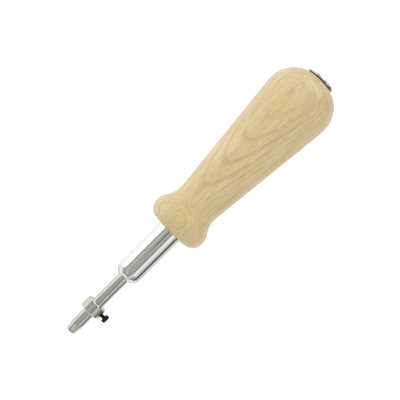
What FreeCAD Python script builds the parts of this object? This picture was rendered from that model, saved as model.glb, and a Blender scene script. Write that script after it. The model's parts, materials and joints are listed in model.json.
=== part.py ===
import FreeCAD, Part
import math
import os
import Sketcher

# A hand-held rod mandrel with an adjustable stop ring: a turned wooden handle, a chromed shank
# with a rounded nose, a plain rod pressed into the shank, and a stop ring that slides on the rod
# and is held there by a small clamp screw with a brass pad under its tip.
#
# Every piece is modelled about the tool's own axis. X runs along the axis towards the rod's tip,
# with X = 0 on the handle's front face. The clamp screw points along +Y. The whole tool then lies
# on its side on Z = 0, resting on the handle's belly and on its front flange.

# ------------------------------------------------------------ driving dimensions, mm and degrees
SIZES = {
    # handle, all distances from its front face
    "handle_length": 98.0,
    "flange_distance": 6.0,
    "flange_radius": 14.9,
    "flange_back_arc": 9.2,
    "neck_distance": 17.6,
    "neck_arc": 35.0,
    "handle_taper": 6.0,
    "belly_distance": 83.2,
    "belly_radius": 17.75,
    "belly_arc": 17.6,
    "butt_arc": 14.5,
    "butt_seat_radius": 7.0,
    "bolt_hole_radius": 3.2,
    "handle_seam_turn": 2.19,
    # shank, its tang and the holes in its two ends
    "shank_radius": 6.35,
    "nose_distance": 31.0,
    "nose_arc": 4.6,
    "nose_face_radius": 3.25,
    "tang_radius": 5.0,
    "tang_length": 34.0,
    "tang_chamfer": 0.5,
    "tang_bore_spare": 1.0,
    "tapped_hole_radius": 3.05,
    "tapped_hole_depth": 13.0,
    "rod_bore_depth": 25.8,
    "drill_point_angle": 59.0,
    "knurl_depth": 0.35,
    "knurl_width": 0.7,
    "knurl_start": 6.0,
    "knurl_count": 24,
    # rod
    "rod_radius": 3.0,
    "rod_length": 60.0,
    "rod_end_chamfer": 0.5,
    "tip_distance": 65.7,
    "tip_radius": 2.3,
    "tip_taper_length": 4.5,
    "tip_chamfer": 0.2,
    # stop ring
    "ring_distance": 50.3,
    "ring_length": 5.6,
    "ring_radius": 5.2,
    "ring_bore_radius": 3.05,
    "ring_chamfer": 0.35,
    "ring_hole_radius": 1.05,
    # clamp screw and its pad, distances out from the tool's axis
    "screw_radius": 1.0,
    "screw_length": 3.0,
    "screw_point_chamfer": 0.25,
    "head_distance": 6.7,
    "head_radius": 1.95,
    "head_height": 2.0,
    "head_chamfer": 0.2,
    "socket_flats": 1.5,
    "socket_depth": 1.0,
    "pad_distance": 3.03,
    "pad_radius": 0.75,
    "pad_thickness": 0.64,
    # bolt through the handle, and the washer under its head
    "bolt_radius": 3.0,
    "bolt_length": 75.0,
    "bolt_point_chamfer": 0.5,
    "bolt_head_radius": 7.45,
    "bolt_head_height": 2.0,
    "bolt_rim_height": 1.0,
    "bolt_rim_round": 0.7,
    "slot_width": 2.3,
    "slot_depth": 1.4,
    "washer_radius": 6.8,
    "washer_hole_radius": 3.2,
    "washer_thickness": 0.45,
}

# how far a cut runs past the surface that it starts from, mm
OVERSHOOT = 1.0

doc = FreeCAD.newDocument("rod_mandrel")


def make_sheet():
    """Put each driving dimension in a cell of its own, with its name as the alias."""
    sheet = doc.addObject("Spreadsheet::Sheet", "sizes")
    for row, (name, value) in enumerate(SIZES.items(), start=1):
        sheet.set(f"A{row}", name)
        sheet.set(f"B{row}", str(value))
        sheet.setAlias(f"B{row}", name)
    doc.recompute()
    return sheet


sheet = make_sheet()


class Measure:
    """A size that knows its value and the formula in the sheet's cells that gives it."""

    def __init__(self, value, formula):
        self.value = value
        self.formula = formula

    @staticmethod
    def of(number):
        return number if isinstance(number, Measure) else Measure(number, str(number))

    def __add__(self, other):
        other = Measure.of(other)
        return Measure(self.value + other.value, f"({self.formula} + {other.formula})")

    def __sub__(self, other):
        other = Measure.of(other)
        return Measure(self.value - other.value, f"({self.formula} - {other.formula})")

    def __mul__(self, other):
        other = Measure.of(other)
        return Measure(self.value * other.value, f"({self.formula} * {other.formula})")

    def __neg__(self):
        return Measure(-self.value, f"(-{self.formula})")


def size(name):
    return Measure(float(sheet.get(name)), f"{sheet.Label}.{name}")


def point(along, out):
    return FreeCAD.Vector(Measure.of(along).value, Measure.of(out).value, 0)


# ------------------------------------------------------------ sketches and features
def make_body(name):
    body = doc.addObject("PartDesign::Body", name)
    body.Label = name
    return body


def origin_item(body, role):
    return next(item for item in body.Origin.OriginFeatures if item.Role == role)


class Outline:
    """A closed outline in one plane of a body, drawn edge by edge and sized from the sheet.

    An edge is (index, first end, last end) in the order of drawing.
    """

    ORIGIN = (-1, 1)
    ALONG = -1
    OUT = -2
    CENTRE = 3

    def __init__(self, body, name, plane="XY_Plane", offset=None):
        self.sketch = body.newObject("Sketcher::SketchObject", name)
        self.sketch.AttachmentSupport = [(origin_item(body, plane), "")]
        self.sketch.MapMode = "FlatFace"
        if offset is not None:
            self.sketch.setExpression("AttachmentOffset.Base.z", offset.formula)

    def line(self, start, end):
        return self.sketch.addGeometry(Part.LineSegment(start, end)), 1, 2

    def arc(self, centre, radius, start_degrees, end_degrees):
        """An arc from one angle to the other, clockwise when the second angle is the smaller."""
        circle = Part.Circle(centre, FreeCAD.Vector(0, 0, 1), radius)
        low, high = sorted((math.radians(start_degrees), math.radians(end_degrees)))
        ends = (1, 2) if start_degrees < end_degrees else (2, 1)
        return self.sketch.addGeometry(Part.ArcOfCircle(circle, low, high)), *ends

    def circle(self, radius):
        index = self.sketch.addGeometry(
            Part.Circle(FreeCAD.Vector(), FreeCAD.Vector(0, 0, 1), radius.value)
        )
        self.rule("Coincident", index, self.CENTRE, *self.ORIGIN)
        self.dimension("Radius", radius, index)

    def rule(self, kind, *what):
        return self.sketch.addConstraint(Sketcher.Constraint(kind, *what))

    def dimension(self, kind, measure, *what):
        """Add a dimension that follows the sheet."""
        value = math.radians(measure.value) if kind == "Angle" else measure.value
        number = self.rule(kind, *what, value)
        self.sketch.setExpression(f"Constraints[{number}]", measure.formula)

    def locate(self, edge, end, along=None, out=None):
        """Place an edge's first (1) or last (2) end along and out from the sketch's origin."""
        vertex = (edge[0], edge[end])
        for kind, measure, axis in (("DistanceX", along, self.OUT), ("DistanceY", out, self.ALONG)):
            if measure is None:
                continue
            measure = Measure.of(measure)
            if measure.value == 0:
                self.rule("PointOnObject", *vertex, axis)
            elif measure.value < 0:
                self.dimension(kind, -measure, *vertex, *self.ORIGIN)
            else:
                self.dimension(kind, measure, *self.ORIGIN, *vertex)

    def join(self, first, second, smooth=False):
        kind = "Tangent" if smooth else "Coincident"
        self.rule(kind, first[0], first[2], second[0], second[1])

    def corners(self, *places):
        """Straight edges through these places, each placed by the sheet, joined but not closed."""
        edges = [self.line(point(*a), point(*b)) for a, b in zip(places, places[1:])]
        for edge, following in zip(edges, edges[1:]):
            self.join(edge, following)
        for edge, place in zip(edges, places):
            self.locate(edge, 1, *place)
        self.locate(edges[-1], 2, *places[-1])
        return edges

    def polygon(self, *places):
        """Straight edges through these places and back to the first."""
        edges = self.corners(*places)
        closing = self.line(point(*places[-1]), point(*places[0]))
        self.join(edges[-1], closing)
        self.join(closing, edges[0])


def revolve(body, outline, axis="H_Axis"):
    turned = body.newObject("PartDesign::Revolution", f"{body.Label}_turned")
    turned.Profile = outline.sketch
    turned.ReferenceAxis = (outline.sketch, [axis])
    turned.Angle = 360
    doc.recompute()
    return turned


def pad(body, outline, length):
    """A plate of this thickness, half to each side of the outline's plane."""
    plate = body.newObject("PartDesign::Pad", f"{body.Label}_plate")
    plate.Profile = outline.sketch
    plate.Midplane = True
    plate.setExpression("Length", length.formula)
    doc.recompute()
    return plate


def pocket(body, outline, name, depth, both_ways=False, along_normal=False):
    """Cut the outline away, and stop if the cut missed the solid."""
    before = body.Shape.Volume
    cut = body.newObject("PartDesign::Pocket", name)
    cut.Profile = outline.sketch
    cut.Midplane = both_ways
    cut.Reversed = along_normal
    cut.setExpression("Length", depth.formula)
    doc.recompute()
    if cut.Shape.Volume > before - 0.001:
        raise RuntimeError(f"{name} cuts nothing")
    return cut


def turn_about_x(body, feature, count):
    """Repeat a cut all round the body's X axis."""
    before = body.Shape.Volume
    pattern = body.newObject("PartDesign::PolarPattern", f"{feature.Label}_pattern")
    pattern.Originals = [feature]
    pattern.Axis = (origin_item(body, "X_Axis"), [""])
    pattern.Angle = 360
    pattern.setExpression("Occurrences", count.formula)
    body.Tip = pattern
    doc.recompute()
    if pattern.Shape.Volume > before - 0.001:
        raise RuntimeError(f"{pattern.Label} cuts nothing")


def round_edges(shape, radius, along=None):
    """The names of this shape's round edges of one radius, at one place along X if it is given."""
    names = []
    for number, edge in enumerate(shape.Edges, start=1):
        if edge.Degenerated or not isinstance(edge.Curve, Part.Circle):
            continue
        here = along is None or abs(edge.Curve.Center.x - along.value) < 1e-4
        if here and abs(edge.Curve.Radius - radius.value) < 1e-4:
            names.append(f"Edge{number}")
    return names


def drill_point(radius):
    """The length of the cone that a drill leaves at the bottom of a hole."""
    angle = size("drill_point_angle")
    length = radius.value / math.tan(math.radians(angle.value))
    return Measure(length, f"({radius.formula} / tan({angle.formula} * 1 deg))")


# ------------------------------------------------------------ the pieces
def make_wood_handle():
    """The turned handle: flange, neck, straight cone to the belly, round butt, and a stepped bore."""
    body = make_body("wood_handle")
    outline = Outline(body, "handle_outline")
    taper = size("handle_taper").value
    square_to_taper = point(math.sin(math.radians(taper)), math.cos(math.radians(taper)))

    flange = point(-size("flange_distance"), size("flange_radius"))
    front_arc = size("flange_distance").value
    back_arc = size("flange_back_arc").value
    front_centre = flange - point(0, front_arc)
    back_centre = flange - point(0, back_arc)

    belly_arc = size("belly_arc").value
    belly_rise = size("belly_radius") - size("belly_arc")
    belly_centre = point(-size("belly_distance"), belly_rise)
    cone_end = belly_centre + square_to_taper * belly_arc

    # the neck's long arc touches the cone, and its lowest point is the neck
    neck_arc = size("neck_arc").value
    neck_x = -size("neck_distance").value
    reach = cone_end.dot(square_to_taper) + neck_arc - neck_x * square_to_taper.x
    neck_centre = point(neck_x, reach / square_to_taper.y)
    neck = neck_centre - point(0, neck_arc)
    cone_start = neck_centre - square_to_taper * neck_arc

    # the hollow between flange and neck touches the flange's back arc
    run = flange.x - neck.x
    drop = flange.y - neck.y
    hollow_arc = (run**2 + drop**2) / (2 * drop) - back_arc
    hollow_centre = neck + point(0, hollow_arc)
    hollow_turn = math.degrees(math.asin(run / (back_arc + hollow_arc)))

    # the butt's arc touches the belly's arc and ends at the rim of the bolt's seat
    butt_arc = size("butt_arc").value
    seat_rim = point(-size("handle_length"), size("butt_seat_radius"))
    to_rim = seat_rim - belly_centre
    inset = belly_arc - butt_arc
    spread = math.acos((to_rim.Length**2 + inset**2 - butt_arc**2) / (2 * inset * to_rim.Length))
    belly_turn = math.atan2(-to_rim.x, to_rim.y) - spread
    butt_centre = belly_centre + point(-math.sin(belly_turn), math.cos(belly_turn)) * inset
    rim_turn = math.degrees(math.atan2(butt_centre.x - seat_rim.x, seat_rim.y - butt_centre.y))
    belly_turn = math.degrees(belly_turn)

    front = outline.arc(front_centre, front_arc, 0, 90)
    back = outline.arc(back_centre, back_arc, 90, 90 + hollow_turn)
    hollow = outline.arc(hollow_centre, hollow_arc, 270 + hollow_turn, 270)
    dip = outline.arc(neck_centre, neck_arc, 270, 270 - taper)
    cone = outline.line(cone_start, cone_end)
    belly = outline.arc(belly_centre, belly_arc, 90 - taper, 90 + belly_turn)
    butt = outline.arc(butt_centre, butt_arc, 90 + belly_turn, 90 + rim_turn)
    curves = [front, back, hollow, dip, cone, belly, butt]
    for first, second in zip(curves, curves[1:]):
        outline.join(first, second, smooth=True)

    # the bolt's seat, the bolt's hole, and the wider bore for the tang
    bore_end = -(size("tang_length") + size("tang_bore_spare"))
    seat, *_, face = outline.corners(
        (-size("handle_length"), size("butt_seat_radius")),
        (-size("handle_length"), size("bolt_hole_radius")),
        (bore_end, size("bolt_hole_radius")),
        (bore_end, size("tang_radius")),
        (0, size("tang_radius")),
        (0, size("flange_radius") - size("flange_distance")),
    )
    outline.join(butt, seat)
    outline.join(face, front)

    # the front arc is a quarter circle, and the neck is where the hollow turns level
    outline.locate(front, 2, -size("flange_distance"), size("flange_radius"))
    outline.rule("Vertical", front[0], outline.CENTRE, front[0], front[2])
    outline.rule("Vertical", hollow[0], outline.CENTRE, hollow[0], hollow[2])
    outline.locate(hollow, 2, -size("neck_distance"))
    outline.dimension("Radius", size("flange_back_arc"), back[0])
    outline.dimension("Radius", size("neck_arc"), dip[0])
    outline.dimension("Angle", size("handle_taper"), cone[0], cone[2], *outline.ORIGIN)
    outline.dimension("Radius", size("belly_arc"), belly[0])
    outline.dimension("Radius", size("butt_arc"), butt[0])
    belly_middle = (belly[0], outline.CENTRE, outline.CENTRE)
    outline.locate(belly_middle, 1, -size("belly_distance"), belly_rise)
    revolve(body, outline)
    return body


def make_shank():
    """The chromed bar: rounded nose, bore for the rod, and a knurled tang with a tapped end."""
    body = make_body("shank")
    outline = Outline(body, "shank_outline")
    tang_end = -size("tang_length")
    tapped_end = tang_end + size("tapped_hole_depth")
    bore_end = size("nose_distance") - size("rod_bore_depth")
    tapped, rod = size("tapped_hole_radius"), size("rod_radius")
    shoulder, *_, face = outline.corners(
        (0, size("shank_radius")),
        (0, size("tang_radius")),
        (tang_end + size("tang_chamfer"), size("tang_radius")),
        (tang_end, size("tang_radius") - size("tang_chamfer")),
        (tang_end, tapped),
        (tapped_end, tapped),
        (tapped_end + drill_point(tapped), 0),
        (bore_end - drill_point(rod), 0),
        (bore_end, rod),
        (size("nose_distance"), rod),
        (size("nose_distance"), size("nose_face_radius")),
    )

    # the nose's arc runs from the rim of its flat face until it is level with the shank's side
    nose_arc = size("nose_arc").value
    height = size("shank_radius").value - nose_arc
    turn = math.asin((size("nose_face_radius").value - height) / nose_arc)
    centre = point(size("nose_distance") - nose_arc * math.cos(turn), height)
    nose = outline.arc(centre, nose_arc, math.degrees(turn), 90)
    side = outline.line(point(centre.x, size("shank_radius")), point(0, size("shank_radius")))
    outline.join(face, nose)
    outline.join(nose, side, smooth=True)
    outline.join(side, shoulder)
    outline.rule("Horizontal", side[0])
    outline.dimension("Radius", size("nose_arc"), nose[0])
    revolve(body, outline)

    # a straight knurl on the tang bites into the wood, so that the shank can't turn in the handle
    half = size("knurl_width") * 0.5
    bottom = size("tang_radius") - size("knurl_depth")
    groove = Outline(body, "knurl_outline", "YZ_Plane", -size("knurl_start"))
    groove.polygon((0, bottom), (half, size("tang_radius") + half), (-half, size("tang_radius") + half))
    cut = pocket(body, groove, "knurl_groove", size("tang_length"))
    turn_about_x(body, cut, size("knurl_count"))
    return body


def make_mandrel_rod():
    """The plain rod, pressed into the shank, with a short taper at its tip."""
    body = make_body("mandrel_rod")
    outline = Outline(body, "rod_outline")
    tip_end = size("tip_distance")
    rear_end = tip_end - size("rod_length")
    outline.polygon(
        (tip_end, 0),
        (tip_end, size("tip_radius") - size("tip_chamfer")),
        (tip_end - size("tip_chamfer"), size("tip_radius")),
        (tip_end - size("tip_taper_length"), size("rod_radius")),
        (rear_end + size("rod_end_chamfer"), size("rod_radius")),
        (rear_end, size("rod_radius") - size("rod_end_chamfer")),
        (rear_end, 0),
    )
    revolve(body, outline)
    return body


def make_stop_collar():
    """The stop ring, about its own middle: a bored ring with one tapped hole for the clamp screw."""
    body = make_body("stop_collar")
    outline = Outline(body, "ring_outline", "YZ_Plane")
    outline.circle(size("ring_radius"))
    outline.circle(size("ring_bore_radius"))
    plate = pad(body, outline, size("ring_length"))
    bevel = body.newObject("PartDesign::Chamfer", "ring_bevel")
    bevel.Base = (plate, round_edges(plate.Shape, size("ring_radius")))
    bevel.setExpression("Size", size("ring_chamfer").formula)
    doc.recompute()
    hole = Outline(body, "ring_hole_outline", "XZ_Plane")
    hole.circle(size("ring_hole_radius"))
    pocket(body, hole, "ring_hole", size("ring_radius") + OVERSHOOT)
    return body


def make_clamp_screw():
    """The small black screw that clamps the ring, about its own axis along +Y."""
    body = make_body("clamp_screw")
    outline = Outline(body, "screw_outline")
    under_head = size("head_distance")
    point_end = under_head - size("screw_length")
    top = under_head + size("head_height")
    outline.polygon(
        (0, point_end),
        (size("screw_radius") - size("screw_point_chamfer"), point_end),
        (size("screw_radius"), point_end + size("screw_point_chamfer")),
        (size("screw_radius"), under_head),
        (size("head_radius"), under_head),
        (size("head_radius"), top - size("head_chamfer")),
        (size("head_radius") - size("head_chamfer"), top),
        (0, top),
    )
    revolve(body, outline, "V_Axis")

    # hexagonal socket in the head's end
    across_corners = size("socket_flats") * (1 / math.sqrt(3))
    socket = Outline(body, "socket_outline", "XZ_Plane", -top)
    half = size("socket_flats") * 0.5
    socket.polygon(
        (across_corners, 0),
        (across_corners * 0.5, half),
        (-across_corners * 0.5, half),
        (-across_corners, 0),
        (-across_corners * 0.5, -half),
        (across_corners * 0.5, -half),
    )
    pocket(body, socket, "socket", size("socket_depth"), along_normal=True)
    return body


def make_thrust_pad():
    """The brass slug between the clamp screw's point and the rod, about its own axis along +Y."""
    body = make_body("thrust_pad")
    outline = Outline(body, "pad_outline")
    near = size("pad_distance")
    far = near + size("pad_thickness")
    outline.polygon((0, near), (size("pad_radius"), near), (size("pad_radius"), far), (0, far))
    revolve(body, outline, "V_Axis")
    return body


def make_handle_bolt():
    """The long bolt that draws the shank into the handle, with a slotted low-domed head."""
    body = make_body("handle_bolt")
    outline = Outline(body, "bolt_outline")
    under_head = -(size("handle_length") + size("washer_thickness"))
    point_end = under_head + size("bolt_length")
    rim = under_head - size("bolt_rim_height")
    top = under_head - size("bolt_head_height")
    rest, *_, edge = outline.corners(
        (top, 0),
        (point_end, 0),
        (point_end, size("bolt_radius") - size("bolt_point_chamfer")),
        (point_end - size("bolt_point_chamfer"), size("bolt_radius")),
        (under_head, size("bolt_radius")),
        (under_head, size("bolt_head_radius")),
        (rim, size("bolt_head_radius")),
    )
    # the dome is part of a ball whose middle lies on the axis
    rise = size("bolt_head_height").value - size("bolt_rim_height").value
    reach = size("bolt_head_radius").value
    ball = (reach**2 + rise**2) / (2 * rise)
    lean = math.degrees(math.asin(reach / ball))
    dome = outline.arc(point(top + ball, 0), ball, 180 - lean, 180)
    outline.join(edge, dome)
    outline.join(dome, rest)
    outline.rule("PointOnObject", dome[0], outline.CENTRE, outline.ALONG)
    turned = revolve(body, outline)

    rounded = body.newObject("PartDesign::Fillet", "bolt_rim_rounding")
    rounded.Base = (turned, round_edges(turned.Shape, size("bolt_head_radius"), rim))
    rounded.setExpression("Radius", size("bolt_rim_round").formula)
    doc.recompute()

    slot = Outline(body, "slot_outline")
    half = size("slot_width") * 0.5
    bottom = top + size("slot_depth")
    above = top - OVERSHOOT
    slot.polygon((bottom, half), (above, half), (above, -half), (bottom, -half))
    pocket(body, slot, "slot", (size("bolt_head_radius") + OVERSHOOT) * 2, both_ways=True)
    return body


def make_butt_washer():
    """The thin dark washer between the handle's butt and the bolt's head, about its own middle."""
    body = make_body("butt_washer")
    outline = Outline(body, "washer_outline", "YZ_Plane")
    outline.circle(size("washer_radius"))
    outline.circle(size("washer_hole_radius"))
    pad(body, outline, size("washer_thickness"))
    return body


# ------------------------------------------------------------ the tool lying on its side
def lie_angle():
    """How far the tip dips, in degrees, when the flange and the belly both touch the ground.

    The ground touches two arcs of the outline, the flange's front arc and the belly's. Both arcs
    reach the ground when run * sin(a) - rise * cos(a) = spread.
    """
    run = size("belly_distance").value - size("flange_distance").value
    belly_rise = size("belly_radius").value - size("belly_arc").value
    flange_rise = size("flange_radius").value - size("flange_distance").value
    rise = belly_rise - flange_rise
    spread = size("belly_arc").value - size("flange_distance").value
    return math.degrees(math.asin(spread / math.hypot(run, rise)) + math.atan2(rise, run))


def lay_down(pieces, angle):
    """Tilt every piece by the lie angle, then stand the tool's middle over the origin on Z = 0.

    The pieces that were drawn about their own middles first move out to their stations on the axis.
    The handle is turned a little, so that it doesn't lie on the seam where its surface closes.
    """
    ring = size("ring_distance").value
    washer = -size("handle_length").value - size("washer_thickness").value / 2
    stations = {"stop_collar": ring, "clamp_screw": ring, "thrust_pad": ring, "butt_washer": washer}
    turns = {"wood_handle": size("handle_seam_turn").value}
    dip = FreeCAD.Rotation(FreeCAD.Vector(0, 1, 0), angle)
    for piece in pieces:
        station = FreeCAD.Vector(stations.get(piece.Label, 0), 0, 0)
        roll = FreeCAD.Rotation(FreeCAD.Vector(1, 0, 0), turns.get(piece.Label, 0))
        piece.Placement = FreeCAD.Placement(dip.multVec(station), dip.multiply(roll))
    doc.recompute()
    box = Part.makeCompound([piece.Shape for piece in pieces]).optimalBoundingBox(False, False)
    shift = FreeCAD.Vector(-box.Center.x, -box.Center.y, -box.ZMin)
    for piece in pieces:
        piece.Placement.Base = piece.Placement.Base + shift
    doc.recompute()
    return shift


def check(pieces):
    """Stop if any object failed to build, or any piece isn't one valid closed solid."""
    for item in doc.Objects:
        if "Invalid" in item.State or "Error" in item.State:
            raise RuntimeError(f"{item.Label} did not build: {item.State}")
    for piece in pieces:
        shape = piece.Shape
        if shape.isNull() or not shape.isValid() or len(shape.Solids) != 1:
            raise RuntimeError(f"{piece.Label} isn't one valid solid")


pieces = [
    make_wood_handle(),
    make_shank(),
    make_mandrel_rod(),
    make_stop_collar(),
    make_clamp_screw(),
    make_thrust_pad(),
    make_handle_bolt(),
    make_butt_washer(),
]
angle = lie_angle()
shift = lay_down(pieces, angle)
check(pieces)
os.makedirs("parts", exist_ok=True)
for piece in pieces:
    piece.Shape.exportStep(f"parts/{piece.Label}.step")
    box = piece.Shape.BoundBox
    print(f"{piece.Label:12s} volume {piece.Shape.Volume:10.2f}  x {box.XMin:7.2f} {box.XMax:7.2f}"
          f"  y {box.YMin:6.2f} {box.YMax:6.2f}  z {box.ZMin:6.2f} {box.ZMax:6.2f}")
print(f"lie angle {angle:.4f} degrees, front face's middle at x {shift.x:.4f}, z {shift.z:.4f}")
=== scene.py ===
import json
import math

import bmesh
import bpy
from mathutils import Matrix, Vector


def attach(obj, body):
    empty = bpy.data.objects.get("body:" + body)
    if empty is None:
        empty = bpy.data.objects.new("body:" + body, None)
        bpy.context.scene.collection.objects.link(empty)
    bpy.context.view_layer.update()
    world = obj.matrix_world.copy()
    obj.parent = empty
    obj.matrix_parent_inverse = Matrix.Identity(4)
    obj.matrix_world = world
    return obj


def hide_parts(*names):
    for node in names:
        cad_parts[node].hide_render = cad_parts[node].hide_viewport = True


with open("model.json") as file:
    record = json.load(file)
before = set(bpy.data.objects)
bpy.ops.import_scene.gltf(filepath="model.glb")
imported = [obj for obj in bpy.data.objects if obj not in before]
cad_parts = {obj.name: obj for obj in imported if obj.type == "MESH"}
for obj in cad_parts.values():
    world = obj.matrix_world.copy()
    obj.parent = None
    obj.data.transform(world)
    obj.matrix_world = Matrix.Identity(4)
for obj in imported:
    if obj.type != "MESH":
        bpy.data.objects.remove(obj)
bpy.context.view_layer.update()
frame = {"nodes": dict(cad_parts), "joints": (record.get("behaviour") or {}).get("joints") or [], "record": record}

# Lengths are in millimetres and in the tool's own axes until a piece is finished: x from the handle's
# front face to the rod's tip, y out along the clamp screw, z up.
MM = 0.001
SIDES = 192
SMOOTH_UP_TO = math.radians(24)
SAME_POINT = 1e-4
ON_AXIS = 1e-6
OVERSHOOT = 1.0
END_BREAK = 0.5
FINE_BREAK = 0.12

HANDLE_LENGTH = 98.0
FLANGE = (-6.0, 14.9)
FLANGE_FRONT_ARC = 6.0
FLANGE_BACK_ARC = 9.2
NECK_X = -17.6
NECK_ARC = 35.0
TAPER = math.radians(6.0)
BELLY = (-83.2, 17.75)
BELLY_ARC = 17.6
BUTT_ARC = 14.5
SEAT_RADIUS = 7.0
BOLT_HOLE_RADIUS = 3.2
SHANK_RADIUS = 6.35
NOSE_X = 31.0
NOSE_ARC = 4.6
NOSE_FACE_RADIUS = 3.25
TANG_RADIUS = 5.0
TANG_LENGTH = 34.0
TANG_SPARE = 1.0
TAP_RADIUS = 3.05
TAP_END = -20.0
ROD_BORE_END = 5.2
VENT_RADIUS = 0.6
ROD_RADIUS = 3.0
TIP_X = 65.7
TIP_RADIUS = 2.3
TIP_TAPER = 4.5
ROD_LENGTH = 60.0
RING_X = 50.3
RING_LENGTH = 5.6
RING_RADIUS = 5.2
RING_BORE = 3.05
RING_CHAMFER = 0.35
SCREW_HOLE_RADIUS = 1.05
SCREW_HOLE_START = 2.0
SCREW_POINT_Y = 3.7
HEAD_Y = 6.7
HEAD_RADIUS = 1.95
HEAD_HEIGHT = 2.0
HEAD_TOP_ROUND = 0.6
HEAD_FOOT_ROUND = 0.3
KNURL_RIDGE = 0.13
KNURL_COUNT = 30
SOCKET_FLATS = 1.5
SOCKET_DEPTH = 1.0
THREAD_RADIUS = 1.0
THREAD_PITCH = 0.4
THREAD_DEPTH = 0.19
THREAD_CORE = 0.76
WASHER_RADIUS = 6.8
WASHER_THICKNESS = 0.45
BOLT_RADIUS = 3.0
BOLT_LENGTH = 75.0
BOLT_HEAD_RADIUS = 7.45
BOLT_HEAD_HEIGHT = 2.0
BOLT_RIM_HEIGHT = 1.0
BOLT_RIM_ROUND = 0.7
SLOT_WIDTH = 2.3
SLOT_DEPTH = 1.4
BLADE_HEIGHT = 5.0

ring_slide = next(joint for joint in frame["joints"] if joint["name"] == "stop_slide")
stop_face = next(mount for mount in frame["record"]["mounts"] if mount["name"] == "stop_face")
lengthways = Vector(ring_slide["axis"]).normalized()
sideways = Vector((0, 1, 0))
upright = lengthways.cross(sideways)
dip = math.atan2(-lengthways.z, lengthways.x)
face_middle = Vector(stop_face["pos_m"]) - lengthways * (RING_X + RING_LENGTH / 2) * MM
tool_axes = Matrix((lengthways, sideways, upright)).transposed().to_4x4()
tool = Matrix.Translation(face_middle) @ tool_axes @ Matrix.Scale(MM, 4)
along_screw = Matrix.Translation((RING_X, 0, 0)) @ Matrix.Rotation(-math.pi / 2, 4, "X")


# ---- shapes ----

class Outline:
    """A turned piece's section: points (distance along the axis, radius). Arcs become short steps."""

    STEP = math.radians(2.5)

    def __init__(self, *points):
        self.points = list(points)

    def to(self, *points):
        self.points += points
        return self

    def arc(self, centre, radius, start, end):
        """Angles are in radians, counter-clockwise from the direction of growing x."""
        steps = max(2, math.ceil(abs(end - start) / self.STEP))
        for k in range(steps + 1):
            turn = start + (end - start) * k / steps
            point = (centre[0] + radius * math.cos(turn), centre[1] + radius * math.sin(turn))
            if math.dist(point, self.points[-1]) > SAME_POINT:
                self.points.append(point)
        return self


def turned(name, outline, sides=SIDES):
    """Spins a section about the x axis, closed with a pole at each end that lies on the axis."""
    mesh = bmesh.new()
    hoops = []
    for x, radius in outline.points:
        if radius < ON_AXIS:
            hoops.append([mesh.verts.new((x, 0, 0))])
            continue
        turns = [2 * math.pi * k / sides for k in range(sides)]
        hoops.append([mesh.verts.new((x, radius * math.cos(a), radius * math.sin(a))) for a in turns])
    solid = len(hoops[0]) == 1
    pairs = zip(hoops, hoops[1:] if solid else hoops[1:] + hoops[:1])
    for first, second in pairs:
        for k in range(sides):
            corners = [first[k % len(first)], first[(k + 1) % len(first)]]
            corners += [second[(k + 1) % len(second)], second[k % len(second)]]
            corners = list(dict.fromkeys(corners))
            if len(corners) > 2:
                mesh.faces.new(corners)
    bmesh.ops.recalc_face_normals(mesh, faces=mesh.faces)
    return as_object(name, mesh)


def as_object(name, mesh):
    data = bpy.data.meshes.new(name)
    mesh.to_mesh(data)
    mesh.free()
    piece = bpy.data.objects.new(name, data)
    bpy.context.scene.collection.objects.link(piece)
    return piece


def prism(name, corners, low, high):
    """A straight prism on a polygon in the yz plane, from x = low to x = high."""
    mesh = bmesh.new()
    ends = [[mesh.verts.new((x, y, z)) for y, z in corners] for x in (low, high)]
    for end in ends:
        mesh.faces.new(end)
    for k in range(len(corners)):
        nxt = (k + 1) % len(corners)
        mesh.faces.new((ends[0][k], ends[0][nxt], ends[1][nxt], ends[1][k]))
    bmesh.ops.recalc_face_normals(mesh, faces=mesh.faces)
    return as_object(name, mesh)


def baked(piece):
    """Turns the piece's modifiers into plain mesh."""
    graph = bpy.context.evaluated_depsgraph_get()
    data = bpy.data.meshes.new_from_object(piece.evaluated_get(graph))
    piece.modifiers.clear()
    piece.data = data


def cut(piece, tool_object):
    """Takes one solid out of another."""
    boolean = piece.modifiers.new("cut", "BOOLEAN")
    boolean.operation = "DIFFERENCE"
    boolean.solver = "EXACT"
    boolean.object = tool_object
    baked(piece)
    bpy.data.objects.remove(tool_object)


def joined(name, *parts):
    """One mesh from several solids that are one piece of metal."""
    mesh = bmesh.new()
    for part in parts:
        mesh.from_mesh(part.data)
        bpy.data.objects.remove(part)
    return as_object(name, mesh)


def finished(piece, material, slot, body, *nodes, place=None):
    """Puts a piece at its place in the row's frame, smooths it, and ties it to its body and CAD node."""
    piece.data.transform(tool @ (place or Matrix.Identity(4)))
    piece.data.shade_smooth()
    piece.data.set_sharp_from_angle(angle=SMOOTH_UP_TO)
    piece.data.materials.clear()
    piece.data.materials.append(material)
    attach(piece, body)
    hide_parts(*nodes)


# ---- materials ----

def feed(tree, socket, value):
    """Links a socket to another one, or sets its value."""
    value = value.socket if isinstance(value, Number) else value
    if isinstance(value, bpy.types.NodeSocket):
        tree.links.new(value, socket)
    else:
        socket.default_value = value


def new_node(tree, kind, settings, inputs):
    node = tree.nodes.new(kind)
    for name, value in (settings or {}).items():
        setattr(node, name, value)
    for name, value in (inputs or {}).items():
        feed(tree, node.inputs[name], value)
    return node


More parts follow.
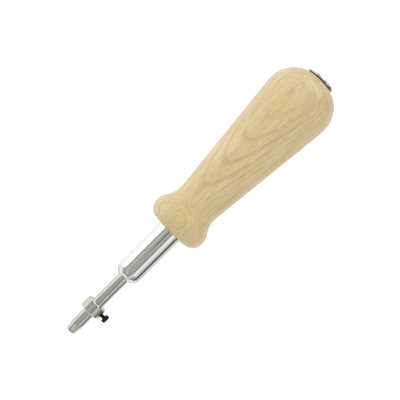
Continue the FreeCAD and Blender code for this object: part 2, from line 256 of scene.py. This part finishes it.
class Number:
    """A number in a material. Arithmetic on it adds Math nodes."""

    def __init__(self, look, socket):
        self.look = look
        self.socket = socket

    def math(self, operation, *others):
        values = {0: self, **{k + 1: other for k, other in enumerate(others)}}
        node = self.look.node("ShaderNodeMath", {"operation": operation}, values)
        return Number(self.look, node.outputs[0])

    def __add__(self, other):
        return self.math("ADD", other)

    def __sub__(self, other):
        return self.math("SUBTRACT", other)

    def __mul__(self, other):
        return self.math("MULTIPLY", other)

    def __truediv__(self, other):
        return self.math("DIVIDE", other)

    def __rsub__(self, other):
        return self.math("MULTIPLY", -1.0).math("ADD", other)

    __radd__ = __add__
    __rmul__ = __mul__

    def clamped(self):
        return self.math("MAXIMUM", 0.0).math("MINIMUM", 1.0)

    def ramp(self, low, high):
        """0 at low, 1 at high, smooth in between."""
        node = self.look.node(
            "ShaderNodeMapRange", {"interpolation_type": "SMOOTHSTEP"},
            {"Value": self, "From Min": low, "From Max": high})
        return Number(self.look, node.outputs["Result"])


class Look:
    """One material, built node by node."""

    def __init__(self, name):
        self.material = bpy.data.materials.new(name)
        self.material.use_nodes = True
        self.tree = self.material.node_tree
        self.tree.nodes.clear()

    def node(self, kind, settings=None, inputs=None):
        return new_node(self.tree, kind, settings, inputs)

    def place(self, scale=(1, 1, 1), centre=(0, 0, 0)):
        """Millimetres in the tool's axes, then scaled."""
        seen = self.node("ShaderNodeTexCoord").outputs["Object"]
        unit = self.node(
            "ShaderNodeMapping", {"vector_type": "TEXTURE"},
            {"Vector": seen, "Location": face_middle, "Rotation": (0, dip, 0), "Scale": (MM, MM, MM)})
        moved = self.vector("SUBTRACT", unit.outputs[0], centre)
        return self.vector("MULTIPLY", moved, scale)

    def vector(self, operation, first, second):
        node = self.node("ShaderNodeVectorMath", {"operation": operation}, {0: first, 1: second})
        return node.outputs[0]

    def parts(self, vector):
        node = self.node("ShaderNodeSeparateXYZ", None, {0: vector})
        return [Number(self, node.outputs[k]) for k in range(3)]

    def noise(self, vector, scale=1.0, detail=2.0, roughness=0.5, distortion=0.0):
        node = self.node(
            "ShaderNodeTexNoise", {"noise_dimensions": "3D"},
            {"Vector": vector, "Scale": scale, "Detail": detail, "Roughness": roughness,
             "Distortion": distortion})
        return Number(self, node.outputs[0])

    def mix(self, factor, first, second):
        node = self.node("ShaderNodeMix", {"data_type": "RGBA"})
        sockets = [s for s in node.inputs if s.enabled]
        for socket, value in zip(sockets, (factor, first, second)):
            feed(self.tree, socket, value)
        return next(s for s in node.outputs if s.enabled)

    def bump(self, height, depth):
        inputs = {"Height": height, "Distance": depth * MM, "Strength": 1.0}
        node = self.node("ShaderNodeBump", None, inputs)
        return node.outputs[0]

    def surface(self, inputs):
        shader = self.node("ShaderNodeBsdfPrincipled", None, inputs)
        self.node("ShaderNodeOutputMaterial", None, {"Surface": shader.outputs[0]})
        return self.material


def rgb(red, green, blue):
    return (red, green, blue, 1.0)


# the tree's growth rings, in the tool's axes: their centre, their spacing, and the first one's distance
PITH = (0.0, 13.7, -37.6)
YEAR_SPACING = 1.53
FIRST_YEAR = 50.3


def ash_under_lacquer():
    """Plain-sawn ash: rings about a pith outside the blank, open pores along the grain, clear lacquer."""
    look = Look("ash_under_lacquer")
    drift = look.noise(look.place((0.022, 0.05, 0.05), (9.0, 0, 0)), 1.0, 1.0)
    waver = look.noise(look.place((0.04, 0.18, 0.18)), 1.0, 1.0)
    x, y, z = look.parts(look.place(centre=PITH))
    on_flange = x.ramp(-24.0, -15.0) * 0.7
    from_pith = (y * y + z * z).math("SQRT") + (drift - 0.5) * 0.9 + (waver - 0.5) * 0.35
    year = (from_pith - FIRST_YEAR) / YEAR_SPACING
    in_year = year.math("FRACT")
    late = in_year.ramp(0.72, 0.97) * (1.0 - in_year.ramp(0.97, 1.0))
    early = 1.0 - in_year.ramp(0.0, 0.14)
    strength = look.noise(look.place((0.03, 0.25, 0.25), (3.0, 7.0, 1.0)), 1.0, 1.0).ramp(0.38, 0.68)
    first_rings = year.ramp(-1.7, -0.4) * (1.0 - year.ramp(1.7, 3.6))
    contrast = 0.14 + strength * 0.5 + first_rings * 0.5 * (1.0 - on_flange)
    line = (late * 0.55 + early * 0.85) * contrast

    fibre = look.noise(look.place((0.045, 2.1, 2.1)), 1.0, 3.0, 0.65)
    bundle = look.noise(look.place((0.028, 0.75, 0.75), (4.0, 1.0, 2.0)), 1.0, 2.0, 0.6)
    pores = look.noise(look.place((0.11, 3.4, 3.4), (2.0, 0, 5.0)), 1.0, 1.0).ramp(0.58, 0.68)
    pores = pores * (0.55 + early * 0.9)
    cloud = look.noise(look.place((0.035, 0.11, 0.11), (0, 4.0, 0)), 1.0, 2.0)

    pale = look.mix(cloud.ramp(0.35, 0.65), rgb(0.695, 0.525, 0.275), rgb(0.755, 0.590, 0.340))
    banded = look.mix(bundle.ramp(0.40, 0.64) * 0.40, pale, rgb(0.570, 0.430, 0.195))
    grained = look.mix((line * 0.75).clamped(), banded, rgb(0.440, 0.300, 0.125))
    fibred = look.mix(fibre.ramp(0.40, 0.70) * 0.30, grained, rgb(0.480, 0.345, 0.145))
    colour = look.mix((pores * 0.50).clamped(), fibred, rgb(0.330, 0.215, 0.080))
    height = fibre * 0.3 - pores * 0.6
    return look.surface({
        "Base Color": colour,
        "Roughness": 0.42 + fibre * 0.12,
        "Normal": look.bump(height, 0.012),
        "Coat Weight": 0.75,
        "Coat Roughness": 0.16,
        "Coat IOR": 1.5,
        "IOR": 1.45,
    })


def polished_metal(name, bright, shade, roughness, lay=0.0015):
    """Plated steel: fine turned or drawn lines, slight clouding of the polish."""
    look = Look(name)
    turned_lines = look.noise(look.place((9.0, 0.35, 0.35)), 1.0, 2.0)
    clouding = look.noise(look.place((0.25, 0.25, 0.25)), 1.0, 2.0)
    colour = look.mix(clouding.ramp(0.3, 0.7), bright, shade)
    streaks = (turned_lines - 0.5) * roughness * 0.6
    patches = (clouding - 0.5) * roughness * 0.4
    return look.surface({
        "Base Color": colour,
        "Metallic": 1.0,
        "Roughness": roughness + streaks + patches,
        "Normal": look.bump(turned_lines, lay),
    })


def black_oxide():
    look = Look("black_oxide")
    speck = look.noise(look.place((3.0, 3.0, 3.0)), 1.0, 3.0)
    colour = look.mix(speck.ramp(0.45, 0.75), rgb(0.004, 0.004, 0.004), rgb(0.014, 0.014, 0.013))
    return look.surface({
        "Base Color": colour,
        "Metallic": 0.0,
        "Roughness": 0.34 + speck * 0.16,
        "IOR": 1.40,
        "Normal": look.bump(speck, 0.01),
    })


def turned_brass():
    look = Look("turned_brass")
    lines = look.noise(look.place((2.0, 8.0, 2.0)), 1.0, 2.0)
    colour = look.mix(lines, rgb(0.72, 0.52, 0.22), rgb(0.80, 0.62, 0.32))
    return look.surface({
        "Base Color": colour, "Metallic": 1.0, "Roughness": 0.25 + lines * 0.15,
        "Normal": look.bump(lines, 0.004),
    })


# dark brown for the washer under the bolt head: partly the fibre washer's own colour, partly painted shade that
# stands in for the shadow in the gap under the head
def fibre_and_gap_shade():
    look = Look("fibre_and_gap_shade")
    fleck = look.noise(look.place((2.5, 2.5, 2.5)), 1.0, 3.0)
    colour = look.mix(fleck, rgb(0.050, 0.026, 0.015), rgb(0.110, 0.065, 0.040))
    return look.surface({
        "Base Color": colour, "Roughness": 0.6 + fleck * 0.2, "Normal": look.bump(fleck, 0.03),
    })


ASH = ash_under_lacquer()
CHROME = polished_metal("bright_chrome", rgb(0.86, 0.87, 0.85), rgb(0.83, 0.84, 0.82), 0.055)
NICKEL = polished_metal("bright_nickel", rgb(0.74, 0.745, 0.68), rgb(0.70, 0.705, 0.635), 0.13, 0.002)
BOLT_STEEL = polished_metal("bolt_steel", rgb(0.70, 0.705, 0.69), rgb(0.64, 0.645, 0.63), 0.16, 0.002)
BLACK = black_oxide()
BRASS = turned_brass()
FIBRE_AND_GAP_SHADE = fibre_and_gap_shade()


# ---- the pieces ----

def handle_outline():
    """Flange, neck, straight cone, belly and butt, each arc touching the next, then the stepped bore."""
    square = Vector((math.sin(TAPER), math.cos(TAPER)))
    flange = Vector(FLANGE)
    front_centre = flange - Vector((0, FLANGE_FRONT_ARC))
    back_centre = flange - Vector((0, FLANGE_BACK_ARC))
    belly_centre = Vector(BELLY) - Vector((0, BELLY_ARC))
    cone_end = belly_centre + square * BELLY_ARC
    reach = cone_end.dot(square) + NECK_ARC - NECK_X * square.x
    neck_centre = Vector((NECK_X, reach / square.y))
    neck = neck_centre - Vector((0, NECK_ARC))

    run = flange.x - neck.x
    drop = flange.y - neck.y
    hollow_arc = (run**2 + drop**2) / (2 * drop) - FLANGE_BACK_ARC
    hollow_centre = neck + Vector((0, hollow_arc))
    hollow_turn = math.asin(run / (FLANGE_BACK_ARC + hollow_arc))

    rim = Vector((-HANDLE_LENGTH, SEAT_RADIUS))
    to_rim = rim - belly_centre
    inset = BELLY_ARC - BUTT_ARC
    spread = math.acos((to_rim.length**2 + inset**2 - BUTT_ARC**2) / (2 * inset * to_rim.length))
    belly_turn = math.atan2(-to_rim.x, to_rim.y) - spread
    butt_centre = belly_centre + Vector((-math.sin(belly_turn), math.cos(belly_turn))) * inset
    rim_turn = math.atan2(butt_centre.x - rim.x, rim.y - butt_centre.y)

    quarter = math.pi / 2
    face_row = SHANK_RADIUS + 1.0
    outline = Outline((0.0, TANG_RADIUS), (0.0, face_row))
    outline.to((0.0, FLANGE[1] - FLANGE_FRONT_ARC))
    outline.arc(front_centre, FLANGE_FRONT_ARC, 0, quarter)
    outline.arc(back_centre, FLANGE_BACK_ARC, quarter, quarter + hollow_turn)
    outline.arc(hollow_centre, hollow_arc, -quarter + hollow_turn, -quarter)
    outline.arc(neck_centre, NECK_ARC, -quarter, -quarter - TAPER)
    cone_start = outline.points[-1]
    rows = 24
    for k in range(1, rows):
        outline.to(tuple(Vector(cone_start).lerp(cone_end, k / rows)))
    outline.arc(belly_centre, BELLY_ARC, quarter - TAPER, quarter + belly_turn)
    outline.arc(butt_centre, BUTT_ARC, quarter + belly_turn, quarter + rim_turn)
    bore_end = -(TANG_LENGTH + TANG_SPARE)
    return outline.to(
        (-HANDLE_LENGTH, BOLT_HOLE_RADIUS), (bore_end, BOLT_HOLE_RADIUS), (bore_end, TANG_RADIUS))


def shank_outline():
    """Tang, shank and rounded nose, with the rod's bore in front and the bolt's hole behind."""
    nose_centre = (NOSE_X - NOSE_ARC, SHANK_RADIUS - NOSE_ARC)
    face_break = 0.1
    reach = math.acos((NOSE_FACE_RADIUS + face_break - nose_centre[1]) / NOSE_ARC)
    outline = Outline((-TANG_LENGTH, TAP_RADIUS), (-TANG_LENGTH, TANG_RADIUS - END_BREAK))
    outline.to((-TANG_LENGTH + END_BREAK, TANG_RADIUS), (0, TANG_RADIUS), (0, SHANK_RADIUS))
    rows = 13
    for k in range(1, rows):
        outline.to((nose_centre[0] * k / rows, SHANK_RADIUS))
    outline.arc(nose_centre, NOSE_ARC, math.pi / 2, math.pi / 2 - reach)
    face_x = outline.points[-1][0]
    return outline.to(
        (face_x, ROD_RADIUS), (ROD_BORE_END, ROD_RADIUS), (ROD_BORE_END, VENT_RADIUS),
        (TAP_END, VENT_RADIUS), (TAP_END, TAP_RADIUS))


def rod_outline():
    """A plain rod, softened where its tip starts to taper, with a rounded edge at the tip."""
    start = TIP_X - ROD_LENGTH
    taper_start = TIP_X - TIP_TAPER
    soft_length = 0.25
    soft_drop = 0.055
    taper_drop = 0.62
    tip_round = 0.2
    tip_bulge = 0.06
    rows_end_short = 0.8
    outline = Outline((start, 0), (start, ROD_RADIUS - END_BREAK), (start + END_BREAK, ROD_RADIUS))
    rows = 20
    for k in range(1, rows):
        outline.to((start + END_BREAK + (taper_start - start - rows_end_short) * k / rows, ROD_RADIUS))
    outline.to((taper_start - soft_length, ROD_RADIUS), (taper_start, ROD_RADIUS - 0.012))
    outline.to((taper_start + soft_length, ROD_RADIUS - soft_drop))
    rows = 6
    for k in range(1, rows):
        share = k / rows
        along = (TIP_TAPER - soft_length - tip_round) * share
        outline.to((taper_start + soft_length + along, ROD_RADIUS - soft_drop - taper_drop * share))
    return outline.to(
        (TIP_X - tip_round, TIP_RADIUS), (TIP_X - tip_bulge, TIP_RADIUS - tip_bulge),
        (TIP_X, TIP_RADIUS - tip_round), (TIP_X, 0))


def ring_outline():
    """A band with chamfered rims and lightly broken edges at its bore."""
    back = RING_X - RING_LENGTH / 2
    front = RING_X + RING_LENGTH / 2
    outline = Outline((back + FINE_BREAK, RING_BORE), (back, RING_BORE + FINE_BREAK))
    outline.to((back, RING_RADIUS - RING_CHAMFER), (back + RING_CHAMFER, RING_RADIUS))
    rows = 14
    for k in range(1, rows):
        outline.to((back + RING_CHAMFER + (RING_LENGTH - 2 * RING_CHAMFER) * k / rows, RING_RADIUS))
    outline.to((front - RING_CHAMFER, RING_RADIUS), (front, RING_RADIUS - RING_CHAMFER))
    return outline.to((front, RING_BORE + FINE_BREAK), (front - FINE_BREAK, RING_BORE))


def bolt_outline():
    """The handle bolt: a low domed head on the washer, and the shaft forward into the shank."""
    seat = -(HANDLE_LENGTH + WASHER_THICKNESS)
    top = seat - BOLT_HEAD_HEIGHT
    rim = seat - BOLT_RIM_HEIGHT
    rise = BOLT_HEAD_HEIGHT - BOLT_RIM_HEIGHT
    dome = (BOLT_HEAD_RADIUS**2 + rise**2) / (2 * rise)
    lean = math.asin(BOLT_HEAD_RADIUS / dome)
    outline = Outline((top, 0))
    steps = 28
    rounded = []
    for k in range(1, steps + 1):
        turn = lean * k / steps
        rounded.append((top + dome * (1 - math.cos(turn)), dome * math.sin(turn)))
    # the rim's corner is rounded between the dome and the straight rim
    dome_end = BOLT_HEAD_RADIUS - BOLT_RIM_ROUND * 0.8
    rounded = [point for point in rounded if point[1] < dome_end]
    last = rounded[-1]
    outline.to(*rounded)
    inward = 0.02
    side = (rim + BOLT_RIM_ROUND * 0.55, BOLT_HEAD_RADIUS)
    corner = (rim - inward, BOLT_HEAD_RADIUS - inward)
    steps = 8
    for k in range(1, steps + 1):
        share = k / steps
        first = Vector(last).lerp(corner, share)
        second = Vector(corner).lerp(side, share)
        outline.to(tuple(first.lerp(second, share)))
    outline.to((seat - FINE_BREAK, BOLT_HEAD_RADIUS), (seat, BOLT_HEAD_RADIUS - FINE_BREAK))
    end = seat + BOLT_LENGTH
    return outline.to(
        (seat, BOLT_RADIUS), (end - END_BREAK, BOLT_RADIUS), (end, BOLT_RADIUS - END_BREAK), (end, 0))


def washer_outline():
    back = -(HANDLE_LENGTH + WASHER_THICKNESS)
    rim_break = 0.08
    return Outline(
        (-HANDLE_LENGTH, BOLT_HOLE_RADIUS), (-HANDLE_LENGTH, WASHER_RADIUS),
        (back + rim_break, WASHER_RADIUS), (back, WASHER_RADIUS - rim_break), (back, BOLT_HOLE_RADIUS))


# ---- repeats, made with geometry nodes ----

class Pattern:
    """A geometry node tree with named inputs, run on one object."""

    def __init__(self, name):
        self.tree = bpy.data.node_groups.new(name, "GeometryNodeTree")
        self.tree.interface.new_socket("Geometry", in_out="INPUT", socket_type="NodeSocketGeometry")
        self.tree.interface.new_socket("Geometry", in_out="OUTPUT", socket_type="NodeSocketGeometry")
        self.inputs = {}
        self.group_input = self.tree.nodes.new("NodeGroupInput")

    def size(self, name, kind="NodeSocketFloat"):
        item = self.tree.interface.new_socket(name, in_out="INPUT", socket_type=kind)
        self.inputs[name] = item.identifier
        return self.group_input.outputs[name]

    def node(self, kind, settings=None, inputs=None):
        return new_node(self.tree, kind, settings, inputs)

    def run(self, piece, geometry, material, values):
        """Realizes the pattern, joins it to the piece's own mesh and bakes the lot."""
        real = self.node("GeometryNodeRealizeInstances", None, {"Geometry": geometry})
        both = self.node("GeometryNodeJoinGeometry")
        self.tree.links.new(self.group_input.outputs["Geometry"], both.inputs[0])
        self.tree.links.new(real.outputs[0], both.inputs[0])
        painted = self.node(
            "GeometryNodeSetMaterial", None, {"Geometry": both.outputs[0], "Material": material})
        out = self.tree.nodes.new("NodeGroupOutput")
        self.tree.links.new(painted.outputs[0], out.inputs[0])
        modifier = piece.modifiers.new("pattern", "NODES")
        modifier.node_group = self.tree
        for name, value in values.items():
            modifier[self.inputs[name]] = value
        baked(piece)


def knurl(piece, material):
    """Straight knurling round the screw's head: slim ridges standing out of the head's core."""
    pattern = Pattern("head_knurl")
    count = pattern.size("Count", "NodeSocketInt")
    radius = pattern.size("Radius")
    ridge = pattern.size("Ridge")
    length = pattern.size("Length")
    foot = pattern.size("Foot")
    hoop = pattern.node(
        "GeometryNodeMeshCircle", {"fill_type": "NONE"}, {"Vertices": count, "Radius": radius})
    tooth = pattern.node(
        "GeometryNodeMeshCone", {"fill_type": "NGON"},
        {"Vertices": 4, "Side Segments": 1, "Radius Top": ridge, "Radius Bottom": ridge, "Depth": length})
    height = pattern.node("ShaderNodeCombineXYZ", None, {"Z": foot})
    index = pattern.node("GeometryNodeInputIndex")
    part_turn = pattern.node(
        "ShaderNodeMath", {"operation": "DIVIDE"}, {0: index.outputs[0], 1: count})
    turn = pattern.node(
        "ShaderNodeMath", {"operation": "MULTIPLY"}, {0: part_turn.outputs[0], 1: 2 * math.pi})
    facing = pattern.node("ShaderNodeCombineXYZ", None, {"Z": turn.outputs[0]})
    around = pattern.node(
        "GeometryNodeInstanceOnPoints", None,
        {"Points": hoop.outputs[0], "Instance": tooth.outputs[0], "Rotation": facing.outputs[0]})
    lifted = pattern.node(
        "GeometryNodeTranslateInstances", None,
        {"Instances": around.outputs[0], "Translation": height.outputs[0], "Local Space": False})
    pattern.run(piece, lifted.outputs[0], material, {
        "Count": KNURL_COUNT, "Radius": HEAD_RADIUS - KNURL_RIDGE, "Ridge": KNURL_RIDGE,
        "Length": HEAD_HEIGHT - 0.7 * HEAD_TOP_ROUND - 0.5 * HEAD_FOOT_ROUND,
        "Foot": HEAD_Y + 0.5 * HEAD_FOOT_ROUND})


def thread(piece, material):
    """The screw's thread: one ridge of three-cornered section wound up the core."""
    pattern = Pattern("screw_thread")
    turns = pattern.size("Turns")
    radius = pattern.size("Radius")
    rise = pattern.size("Rise")
    ridge = pattern.size("Ridge")
    start = pattern.size("Start")
    helix = pattern.node(
        "GeometryNodeCurveSpiral", None,
        {"Resolution": 36, "Rotations": turns, "Start Radius": radius, "End Radius": radius,
         "Height": rise})
    upright_helix = pattern.node(
        "GeometryNodeSetCurveNormal", {"mode": "Z_UP"}, {"Curve": helix.outputs[0]})
    section = pattern.node(
        "GeometryNodeCurvePrimitiveCircle", {"mode": "RADIUS"}, {"Resolution": 4, "Radius": ridge})
    wound = pattern.node(
        "GeometryNodeCurveToMesh", None,
        {"Curve": upright_helix.outputs[0], "Profile Curve": section.outputs[0], "Fill Caps": True})
    shift = pattern.node("ShaderNodeCombineXYZ", None, {"Z": start})
    lifted = pattern.node(
        "GeometryNodeTransform", None, {"Geometry": wound.outputs[0], "Translation": shift.outputs[0]})
    first_y = SCREW_POINT_Y + 0.25
    length = HEAD_Y - 0.15 - first_y
    pattern.run(piece, lifted.outputs[0], material, {
        "Turns": length / THREAD_PITCH, "Radius": THREAD_RADIUS - THREAD_DEPTH, "Rise": length,
        "Ridge": THREAD_DEPTH, "Start": first_y})


def clamp_screw():
    """A cap screw: pointed core, wound thread, knurled head with a rounded top edge and a hex socket."""
    shaft = Outline((SCREW_POINT_Y, 0), (SCREW_POINT_Y, THREAD_CORE - FINE_BREAK))
    shaft.to((SCREW_POINT_Y + FINE_BREAK, THREAD_CORE), (HEAD_Y - 0.25, THREAD_CORE))
    neck = THREAD_CORE + 0.2
    into_head = HEAD_Y + 0.1
    shaft.to((HEAD_Y, neck), (into_head, neck), (into_head, 0))
    inner = HEAD_RADIUS - FINE_BREAK
    top = HEAD_Y + HEAD_HEIGHT
    head = Outline((HEAD_Y, 0), (HEAD_Y, inner - HEAD_FOOT_ROUND))
    head.arc((HEAD_Y + HEAD_FOOT_ROUND, inner - HEAD_FOOT_ROUND), HEAD_FOOT_ROUND, math.pi, math.pi / 2)
    head.arc((top - HEAD_TOP_ROUND, inner - HEAD_TOP_ROUND), HEAD_TOP_ROUND, math.pi / 2, 0)
    head.to((top, 0))
    head_piece = turned("screw_head", head, 96)
    flats = SOCKET_FLATS / math.sqrt(3)
    hexagon = [(flats * math.cos(k * math.pi / 3), flats * math.sin(k * math.pi / 3)) for k in range(6)]
    cut(head_piece, prism("hex_socket", hexagon, top - SOCKET_DEPTH, top + OVERSHOOT / 2))
    piece = joined("cap_screw", turned("screw_shaft", shaft, 64), head_piece)
    # turned about x so far; the patterns wind about z
    piece.data.transform(Matrix.Rotation(-math.pi / 2, 4, "Y"))
    knurl(piece, BLACK)
    thread(piece, BLACK)
    return piece


finished(turned("turned_handle", handle_outline()), ASH, "ash_wood", "handle_group", "wood_handle")
finished(turned("chromed_shank", shank_outline()), CHROME, "chrome", "handle_group", "shank")
finished(turned("plain_rod", rod_outline()), NICKEL, "nickel", "handle_group", "mandrel_rod")

ring_band = turned("stop_ring_band", ring_outline())
hole_end = RING_RADIUS + OVERSHOOT
hole = Outline((SCREW_HOLE_START, 0), (SCREW_HOLE_START, SCREW_HOLE_RADIUS))
hole.to((hole_end, SCREW_HOLE_RADIUS), (hole_end, 0))
drill = turned("screw_hole", hole, 64)
drill.data.transform(Matrix.Translation((RING_X, 0, 0)) @ Matrix.Rotation(math.pi / 2, 4, "Z"))
cut(ring_band, drill)
finished(ring_band, NICKEL, "nickel", "stop_ring", "stop_collar")

finished(clamp_screw(), BLACK, "black_oxide", "ring_screw", "clamp_screw", place=along_screw)

slotted_bolt = turned("slotted_bolt", bolt_outline(), 128)
slot_floor = -(HANDLE_LENGTH + WASHER_THICKNESS + BOLT_HEAD_HEIGHT - SLOT_DEPTH)
half_slot = SLOT_WIDTH / 2
long_way = BOLT_HEAD_RADIUS + 2 * OVERSHOOT
blade = [(-half_slot, -long_way), (half_slot, -long_way), (half_slot, long_way), (-half_slot, long_way)]
cut(slotted_bolt, prism("slot", blade, slot_floor - BLADE_HEIGHT, slot_floor))
finished(slotted_bolt, BOLT_STEEL, "nickel", "handle_group", "handle_bolt")

# the washer's dark brown is partly its own colour and partly painted shade for the gap under the bolt head
finished(turned("fibre_washer", washer_outline(), 96), FIBRE_AND_GAP_SHADE, "dark_fibre", "handle_group", "butt_washer")

pad = frame["nodes"]["thrust_pad"]
pad.data.materials.clear()
pad.data.materials.append(BRASS)


# ---- the studio ----

CARD_REACH = 420.0


def sheet(name, half_side):
    """One flat square face about the origin."""
    mesh = bmesh.new()
    bmesh.ops.create_grid(mesh, x_segments=1, y_segments=1, size=half_side)
    return as_object(name, mesh)


def card(name, middle, width, height, facing, look, stand=tool):
    """A flat card or softbox that the metal reflects and the camera doesn't see. Sizes in millimetres."""
    piece = sheet(name, 0.5)
    away = Vector(facing).normalized()
    across = Vector((1, 0, 0))
    over = away.cross(across).normalized()
    turn = Matrix((across, over, away)).transposed().to_4x4()
    size = Matrix.Diagonal((width, height, 1, 1))
    piece.data.transform(stand @ Matrix.Translation(middle) @ turn @ size)
    piece.data.materials.append(look)
    piece.visible_camera = False
    piece.visible_diffuse = False
    piece.visible_shadow = False


def glow(name, first, last, level_first, level_last):
    """Light whose strength changes evenly between two azimuths round the tool, in degrees."""
    look = Look(name)
    _, y, z = look.parts(look.place())
    azimuth = y.math("ARCTAN2", z)
    node = look.node("ShaderNodeMapRange", None, {
        "Value": azimuth, "From Min": math.radians(first), "From Max": math.radians(last),
        "To Min": level_first, "To Max": level_last})
    return look.surface({
        "Base Color": rgb(0, 0, 0), "Roughness": 1.0, "Specular IOR Level": 0.0,
        "Emission Color": node.outputs["Result"], "Emission Strength": 1.0})


def aimed(azimuth, reach):
    """A point that far from the tool's axis, azimuth degrees from straight up, positive towards +y."""
    turn = math.radians(azimuth)
    return Vector((0.0, reach * math.sin(turn), reach * math.cos(turn)))


def strip(name, azimuths, levels, along, reach=CARD_REACH):
    """A long card parallel to the tool that fills the directions between two azimuths."""
    low, high = aimed(azimuths[0], reach), aimed(azimuths[1], reach)
    middle = (low + high) / 2
    facing = -middle
    middle.x = sum(along) / 2
    look = glow(name, *azimuths, *levels)
    card(name, middle, along[1] - along[0], (high - low).length, facing, look)


SHANK_PART = (-700.0, 74.0)
ROD_PART = (74.0, 800.0)
strip("left_softbox", (-91, -47.5), (1.25, 1.25), SHANK_PART)
strip("left_softbox_rim", (-48.5, -37), (0.33, 0.33), SHANK_PART)
strip("ceiling_line", (-29, -22), (0.72, 0.62), SHANK_PART)
strip("right_softbox_rim", (32.0, 39), (0.20, 0.26), SHANK_PART)
strip("right_softbox", (41, 74), (1.08, 0.72), SHANK_PART)
strip("right_softbox_foot", (74, 88), (0.72, 0.20), SHANK_PART)
strip("right_flag", (87, 104), (0.0, 0.0), SHANK_PART, reach=70)
strip("rod_left_softbox", (-98, -62), (1.05, 0.90), ROD_PART)
strip("rod_ceiling_line", (-22, -8), (0.56, 0.56), ROD_PART)
strip("rod_right_rim", (12, 28), (0.30, 0.30), ROD_PART)
strip("rod_right_softbox", (32, 58), (0.72, 0.62), ROD_PART)
strip("rod_right_foot", (66, 92), (0.36, 0.30), ROD_PART)
strip("ceiling_slit", (-1.0, 5.0), (0.03, 0.03), (-160.0, 39.0), reach=410)


def end_card(name, low, high, level, width):
    """A card across one end of the tool: it fills two angles from straight up, positive towards the tip."""
    quarter = Matrix.Rotation(-math.pi / 2, 4, "Z")
    first, last = aimed(low, CARD_REACH), aimed(high, CARD_REACH)
    middle = (first + last) / 2
    look = glow(name, 0, 1, level, level)
    card(name, middle, width, (last - first).length, -middle, look, tool @ quarter)


end_card("butt_softbox", -66, -108, 2.2, 300)
end_card("tip_softbox", 66, 88, 0.9, 240)
end_card("tip_softbox_top", 30, 38, 0.75, 200)
end_card("tip_flag", 46, 54, 0.12, 360)

# glowing cards that lie on the floor on both sides, in the row's own axes, seen only in the metal's reflections,
# where they stand in for the floor; where their glow falls towards straight below the tool it is painted shade of
# the floor under the tool
row_axes = Matrix.Scale(MM, 4)
SHANK_FLOOR = (-600.0, 53.0)
ROD_FLOOR = (53.0, 700.0)
FLOOR_CARD_DEPTH = 700.0
FLOOR_CARD_LIFT = 0.3
FLOOR_AZIMUTHS = (104.0, 165.0)
for name, side, (start, end), levels in (
        ("shank_floor_left", -1, SHANK_FLOOR, (1.14, 0.62)),
        ("shank_floor_right", 1, SHANK_FLOOR, (0.64, 0.84)),
        ("rod_floor_left", -1, ROD_FLOOR, (0.90, 0.62)),
        ("rod_floor_right", 1, ROD_FLOOR, (0.86, 0.80))):
    look = glow(name, side * FLOOR_AZIMUTHS[0], side * FLOOR_AZIMUTHS[1], *levels)
    middle = Vector(((start + end) / 2, side * FLOOR_CARD_DEPTH / 2, FLOOR_CARD_LIFT))
    card(name, middle, end - start, FLOOR_CARD_DEPTH, (0, 0, 1), look, row_axes)

# in metres from here on
FLOOR_REACH = 12.0
FLOOR_DROP = 0.00005
floor = sheet("floor", FLOOR_REACH)
floor.data.transform(Matrix.Translation((0, 0, -FLOOR_DROP)))
floor.data.materials.append(Look("pale_floor").surface({
    "Base Color": rgb(0.92, 0.92, 0.91), "Roughness": 0.9, "Specular IOR Level": 0.1,
    "Emission Color": rgb(1, 1, 1), "Emission Strength": 0.5}))

world = bpy.data.worlds.new("studio")
bpy.context.scene.world = world
world.use_nodes = True
backdrop = world.node_tree.nodes["Background"]
backdrop.inputs["Color"].default_value = rgb(0.97, 1.0, 0.92)
backdrop.inputs["Strength"].default_value = 0.42


LIGHT_TARGET = (0, 0, 0.015)


def area_light(name, spot, width, depth, watts):
    """A lamp aimed at the tool, kept out of the metal's reflections."""
    lamp = bpy.data.lights.new(name, "AREA")
    lamp.shape = "RECTANGLE"
    lamp.size = width
    lamp.size_y = depth
    lamp.energy = watts
    lamp_object = bpy.data.objects.new(name, lamp)
    lamp_object.location = spot
    lamp_object.rotation_euler = (Vector(LIGHT_TARGET) - Vector(spot)).to_track_quat("-Z", "Y").to_euler()
    lamp_object.visible_glossy = False
    bpy.context.scene.collection.objects.link(lamp_object)


area_light("overhead", (-0.1, -0.15, 0.75), 1.2, 0.9, 4.2)
area_light("left_fill", (0.0, -0.6, 0.30), 0.8, 0.4, 0.8)
area_light("right_fill", (0.0, 0.6, 0.30), 0.8, 0.4, 0.8)

# straight down on the tool, which lies across the picture from corner to corner; millimetres again
VIEW_X = -20.0
VIEW_DISTANCE = 465.0
VIEW_SIDESTEP = -0.33
camera = bpy.data.cameras.new("camera")
camera.lens = 90.0
camera.sensor_width = 36.0
camera.clip_start = 0.01
camera_object = bpy.data.objects.new("camera", camera)
diagonal = math.sqrt(0.5)
image_right = tool_axes.to_3x3() @ Vector((-diagonal, diagonal, 0))
image_up = tool_axes.to_3x3() @ Vector((-diagonal, -diagonal, 0))
eye = tool @ Vector((VIEW_X, VIEW_SIDESTEP, VIEW_DISTANCE))
turn = Matrix((image_right, image_up, upright)).transposed().to_4x4()
camera_object.matrix_world = Matrix.Translation(eye) @ turn
bpy.context.scene.collection.objects.link(camera_object)
bpy.context.scene.camera = camera_object
bpy.context.scene.view_settings.view_transform = "Standard"
